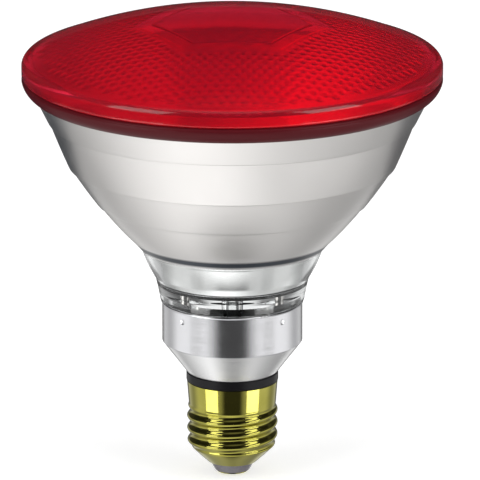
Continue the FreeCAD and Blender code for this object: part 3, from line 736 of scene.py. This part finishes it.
# %% Brass
brass = finish("cap_brass", Base_Color=(0.55, 0.5, 0.16, 1), Metallic=1.0, Roughness=0.1)
tint(brass, noise(brass, 120.0), (0.36, 0.335, 0.065), (0.43, 0.4, 0.09))
roughen(brass, noise(brass, 300.0, stretch=(1, 1, 4)), 0.06, 0.11)
grain(brass, noise(brass, 700.0, stretch=(1, 1, 3)), 0.01, 0.25)
dress(shell, brass, "screw_shell")
redress(brass, "centre_contact")

# %% [markdown]
# ## The skirt and the small pieces
#
# The skirt is spun aluminium, with faint marks round it from the spinning. An anisotropic shader could
# stretch its highlights, but a noise that is stretched round the axis also shows the marks themselves. The
# ring is a glossy black moulding, the insulator dark grey glass, and the pieces in the neck bright metal.

# %% Skirt
SKIRT_INSIDE = 0.01985
aluminium = finish("spun_aluminium", Base_Color=(0.78, 0.78, 0.8, 1), Metallic=1.0, Roughness=0.22)
roughen(aluminium, noise(aluminium, 60.0, 4.0, (1, 1, 30)), 0.17, 0.23)
grain(aluminium, noise(aluminium, 60.0, 4.0, (1, 1, 40)), 0.001, 0.3)
in_skirt = calculate(aluminium, "LESS_THAN", radius_of(aluminium), SKIRT_INSIDE)
tint(aluminium, in_skirt, (0.78, 0.78, 0.8), (0.95, 0.95, 0.95), 0.4, 0.6)
redress(aluminium, "cap_skirt")

# %% Ring and insulator
black_ring = finish("black_ring", Base_Color=(0.008, 0.0075, 0.009, 1), Roughness=0.3,
                    Specular_IOR_Level=0.2)
grain(black_ring, noise(black_ring, 400.0), 0.01, 0.3)
redress(black_ring, "insulating_ring")
grey_glass = finish("grey_vitrite", Base_Color=(0.16, 0.145, 0.17, 1), Roughness=0.12, Coat_Weight=0.7)
tint(grey_glass, noise(grey_glass, 250.0), (0.13, 0.12, 0.145), (0.2, 0.18, 0.21))
redress(grey_glass, "cap_insulator")

# %% Small metal pieces
bright_metal = finish("bright_metal", Base_Color=(0.75, 0.73, 0.7, 1), Metallic=1.0, Roughness=0.18)
grain(bright_metal, noise(bright_metal, 600.0), 0.01, 0.3)
redress(bright_metal, "ferrule_left", "ferrule_right", "lead_post_left", "lead_post_right",
        "filament_hook_left", "filament_hook_right", "contact_lead", "shell_lead")
dull_solder = finish("dull_solder", Base_Color=(0.42, 0.42, 0.43, 1), Metallic=1.0, Roughness=0.45)
grain(dull_solder, noise(dull_solder, 500.0), 0.05, 0.5)
redress(dull_solder, "contact_solder", "shell_solder")

# %% [markdown]
# ## The filament
#
# The CAD has the coil as a plain rod. The real one is tungsten wire wound into a coil. A curve object with a
# bevel could draw it, but a grid gives its faces and ends exactly: a point at turn t of the wire's path sits
# at (x(t), R sin t, R cos t), and the wire's own round section is carried along it.

# %% Filament coil
COIL_HALF, COIL_RADIUS, WIRE_RADIUS, TURNS, TAIL = 7.0, 0.62, 0.16, 26, 9.7
STEPS_A_TURN, WIRE_SIDES = 16, 8
FOCUS_Z = VERTEX_Z + FOCAL
travel = np.linspace(0, 1, TURNS * STEPS_A_TURN + 1)
theta = travel * TURNS * 2 * np.pi
path = np.stack([(2 * travel - 1) * COIL_HALF, COIL_RADIUS * np.sin(theta), COIL_RADIUS * np.cos(theta)], -1)
tail = np.array([[TAIL, 0, 0]])
path = np.concatenate([-tail, -tail * 0.8, path, tail * 0.8, tail]) + (0, 0, FOCUS_Z)
forwards = np.gradient(path, axis=0)
forwards /= np.linalg.norm(forwards, axis=1)[:, None]
sideways = np.cross(forwards, (0.35, 0.2, 0.9))
sideways /= np.linalg.norm(sideways, axis=1)[:, None]
over = np.cross(forwards, sideways)
section = np.arange(WIRE_SIDES) * 2 * np.pi / WIRE_SIDES
wire = path[:, None] + WIRE_RADIUS * (
    np.cos(section)[None, :, None] * sideways[:, None] + np.sin(section)[None, :, None] * over[:, None])
coil = surface("filament_coil", wire, foot=path[0], head=path[-1])
tungsten = finish("tungsten", Base_Color=(0.3, 0.3, 0.32, 1), Metallic=1.0, Roughness=0.35)
grain(tungsten, noise(tungsten, 2000.0), 0.01, 0.3)
dress(coil, tungsten, "filament")

# %% [markdown]
# ## The floor
#
# The cap stands on white paper. A brighter lamp could whiten it, and would burn out the pale metal with it.
# So the paper is lifted to white only where the camera sees it, and it still shows the lamp's shadow.

# %% Floor
FLOOR_HALF, FLOOR_LIFT = 4000, 0.58
floor_corners = [(-1, -1, 0), (1, -1, 0), (1, 1, 0), (-1, 1, 0)]
floor = mesh_piece("floor", np.array(floor_corners) * FLOOR_HALF, [(0, 1, 2, 3)])
floor_paint = finish("floor_paint", Base_Color=(0.7, 0.7, 0.7, 1), Roughness=1.0, Specular_IOR_Level=0.0)
shader_of(floor_paint).inputs["Emission Color"].default_value = (1, 1, 1, 1)
seen_by_camera = node(floor_paint, "ShaderNodeLightPath").outputs["Is Camera Ray"]
link(floor_paint, calculate(floor_paint, "MULTIPLY", seen_by_camera, FLOOR_LIFT),
     shader_of(floor_paint).inputs["Emission Strength"])
floor.data.materials.append(floor_paint)
floor.visible_glossy = False
floor.visible_transmission = False

# %% [markdown]
# ## Dark cards
#
# Both edges of the silver bowl are dark in the photo, because they mirror the unlit studio behind the lamp.
# The world could be dark there, but the brass and the skirt mirror the same directions and are bright. Two
# cards close behind the bowl, and a ring above them for the rim of the lens, darken only what is level with
# them. Nothing but mirrors and polished faces sees them.

# %% Dark cards
CARD_Y, CARD_FOOT, CARD_HEAD = 45, 50, 117
CARD_NEAR, CARD_FAR = 47, 250
RING_CARD_RADIUS, RING_CARD_FOOT, RING_CARD_HEAD = 150, 82, 135


def hide_from_all_but_gloss(card, shade):
    """Gives a card an even shade, which only mirrors and polished faces see."""
    paper = finish(card.name, Base_Color=(0, 0, 0, 1), Roughness=1.0, Specular_IOR_Level=0.0,
                   Emission_Color=(*shade, 1), Emission_Strength=1.0)
    card.data.materials.append(paper)
    card.visible_camera = False
    card.visible_diffuse = False
    card.visible_transmission = False
    card.visible_shadow = False


def dark_card(name, left, right_end, shade):
    """Upright card behind the lamp, between two places along X."""
    corners = [(left, CARD_Y, CARD_FOOT), (right_end, CARD_Y, CARD_FOOT),
               (right_end, CARD_Y, CARD_HEAD), (left, CARD_Y, CARD_HEAD)]
    hide_from_all_but_gloss(mesh_piece(name, corners, [(0, 1, 2, 3)]), shade)


dark_card("card_left", -CARD_FAR, -CARD_NEAR, (0.03, 0.036, 0.045))
dark_card("card_right", CARD_NEAR, CARD_FAR, (0.08, 0.08, 0.085))
ring_profile = [(RING_CARD_RADIUS, RING_CARD_FOOT), (RING_CARD_RADIUS, RING_CARD_HEAD)]
hide_from_all_but_gloss(surface("ring_card", turned_grid(ring_profile, 96)), (0.03, 0.03, 0.03))

# %% [markdown]
# ## Soft boxes
#
# Two tall soft boxes stand left and right of the camera, with the dark of the studio between them: that is
# what draws the two bright windows on the brass and the lines on the thread. A third hangs overhead for the
# shadow under the cap. Point lamps could give the same light, but not those windows.

# %% Soft boxes
LAMP_MIDDLE = 0.07


def soft_box(name, side, height, distance, size, power):
    """Area lamp that looks at the heat lamp's middle, at side degrees from the front to the right."""
    data = bpy.data.lights.new(name, "AREA")
    data.shape = "RECTANGLE"
    data.size, data.size_y = size
    data.energy = power
    lamp = bpy.data.objects.new(name, data)
    turn = math.radians(side)
    lamp.location = (distance * math.sin(turn), -distance * math.cos(turn), height)
    lamp.rotation_euler = (math.atan2(distance, height - LAMP_MIDDLE), 0, turn)
    lamp.visible_transmission = False
    bpy.context.scene.collection.objects.link(lamp)
    print(f"{name}: {power} W at {side} degrees")
    return lamp


soft_box("box_left", -54, 0.5, 1.0, (0.6, 1.0), 5)
soft_box("box_right", 57, 0.5, 1.0, (0.6, 1.0), 5)
soft_box("box_top", 0, 1.5, 0.25, (0.8, 0.5), 6).visible_glossy = False

# %% [markdown]
# ## The studio round the lamp
#
# Silver and glass show their surroundings more than their own colour. Panels and flags could be modelled
# round the lamp one by one, but they would cast light and shadow too. The world holds them instead: its
# brightness is a product of smooth steps in the direction that a ray leaves in, and only glossy and
# transmitted rays read it. The camera sees plain white, and diffuse rays an even, weaker light.

# %% World helpers
world = bpy.data.worlds.new("studio")
world.use_nodes = True


def world_math(operation, *values):
    """Math node of the world."""
    return calculate(world, operation, *values)


def world_ramp(value, start, end, low, high):
    """Smooth step of the value from low at start to high at end."""
    return ranged(world, value, start, end, low, high, "SMOOTHSTEP")


def world_most(first, *rest):
    """Largest of several values."""
    for value in rest:
        first = world_math("MAXIMUM", first, value)
    return first


def world_product(first, *rest):
    """Product of several values."""
    for value in rest:
        first = world_math("MULTIPLY", first, value)
    return first


def world_mix(first, second, share):
    """First value where the share is 0, second where it is 1."""
    rest = world_math("SUBTRACT", 1.0, share)
    return world_math("ADD", world_math("MULTIPLY", second, share), world_math("MULTIPLY", first, rest))


def world_round(azimuth, *stops):
    """Brightness all round the horizon, eased between (degrees from the front, value) stops."""
    return ramp(world, world_math("DIVIDE", azimuth, 180.0), *(
        (degrees / 180, (value, value, value)) for degrees, value in stops), interpolation="EASE")


# %% Directions
kind = node(world, "ShaderNodeLightPath").outputs
through = kind["Is Transmission Ray"]
parts = node(world, "ShaderNodeSeparateXYZ")
link(world, node(world, "ShaderNodeTexCoord").outputs["Generated"], parts.inputs["Vector"])
right, back, up = parts.outputs["X"], parts.outputs["Y"], parts.outputs["Z"]
front = world_math("MULTIPLY", back, -1.0)
azimuth = world_math("ABSOLUTE", world_math("DEGREES", world_math("ARCTAN2", right, front)))

# %% Round the horizon: a dark flag in front, then panels and gaps towards the backdrop
FLAG = ((0, 0.055), (18, 0.055), (36, 0.6), (47, 0.66), (58, 0.5), (66, 0.55))
LEVEL = FLAG + ((80, 1.0), (96, 1.0), (124, 0.48), (146, 0.66), (160, 0.2), (180, 0.1))
SLANTING = FLAG + ((80, 0.75), (96, 0.75), (124, 0.42), (147, 0.38), (160, 0.75), (180, 0.6))
downwards = world_ramp(up, -0.5, -0.4, 1.0, 0.0)
horizon = world_product(
    world_mix(world_round(azimuth, *LEVEL), world_round(azimuth, *SLANTING), downwards),
    world_ramp(up, -0.03, 0.08, 1.0, 0.1))

# %% Below: the bright table under the lamp, darker to the back and right and under the cap itself
CAP_BACK = 0.12
in_line = world_ramp(world_math("ABSOLUTE", right), 0.2, 0.45, 1.0, 0.0)
table = world_product(
    world_ramp(back, -0.3, 0.7, 1.3, 0.5), world_ramp(right, -0.4, 0.7, 1.02, 0.5),
    world_ramp(right, -0.75, -0.3, 0.7, 1.0),
    world_mix(1.0, world_ramp(back, -0.6, -0.35, 1.2, 1.0), in_line))
from_cap = world_math("SQRT", world_math("ADD", world_math("POWER", right, 2.0), world_math(
    "POWER", world_math("SUBTRACT", back, CAP_BACK), 2.0)))
under = world_product(table, world_ramp(from_cap, 0.06, 0.34, 0.2, 1.0))

# %% What metal sees: the horizon, two low panels at the sides, a patch overhead, and the table
low_panels = world_product(
    world_ramp(up, -0.62, -0.58, 0.0, 1.0), world_ramp(up, -0.4, -0.36, 1.0, 0.0),
    world_ramp(azimuth, 37, 41, 0.0, 1.0), world_ramp(azimuth, 73, 77, 1.0, 0.0), 4.2,
    world_math("SUBTRACT", 1.0, through))
overhead = world_product(world_ramp(up, 0.75, 0.95, 0.0, 0.6), world_ramp(back, -0.1, 0.25, 1.0, 0.15))
steep = world_ramp(up, -0.78, -0.6, 1.0, 0.0)
metal_sees = world_mix(world_most(horizon, low_panels, overhead), under, steep)

# %% What glass sees: the white backdrop through the neck, and through the lens a light above the camera
neck_sees = world_most(metal_sees, world_product(world_ramp(back, 0.55, 0.85, 0.0, 0.95), through))
backdrop = world_product(world_ramp(back, 0.9, 0.96, 0.0, 0.95), world_ramp(up, 0.3, 0.4, 1.0, 0.0), through)
lens_sees = world_product(
    world_ramp(back, -0.85, -0.4, 0.15, 2.5), world_ramp(back, -0.1, 0.6, 1.0, 0.4),
    world_ramp(back, 0.6, 0.8, 1.0, 0.25), world_ramp(right, -0.1, 0.5, 1.0, 0.32),
    world_ramp(right, -0.6, -0.2, 0.72, 1.0))
above = world_math("MULTIPLY", through, world_ramp(up, -0.3, -0.2, 0.0, 1.0))
seen = world_most(world_mix(neck_sees, lens_sees, above), backdrop)

# %% World
DIFFUSE_LIGHT = 0.45
sharp_ray = world_most(kind["Is Glossy Ray"], through)
soft_light = world_math("MULTIPLY", kind["Is Diffuse Ray"], DIFFUSE_LIGHT)
strength = world_most(kind["Is Camera Ray"], soft_light, world_math("MULTIPLY", seen, sharp_ray))
background = world.node_tree.nodes["Background"]
link(world, strength, background.inputs["Strength"])
background.inputs["Color"].default_value = (1, 1, 1, 1)
bpy.context.scene.world = world
bpy.context.scene.view_settings.view_transform = "Standard"
print("world nodes:", len(world.node_tree.nodes))

# %% [markdown]
#
# The new surfaces stand for CAD nodes, so the two boxes should agree.

bpy.context.view_layer.update()
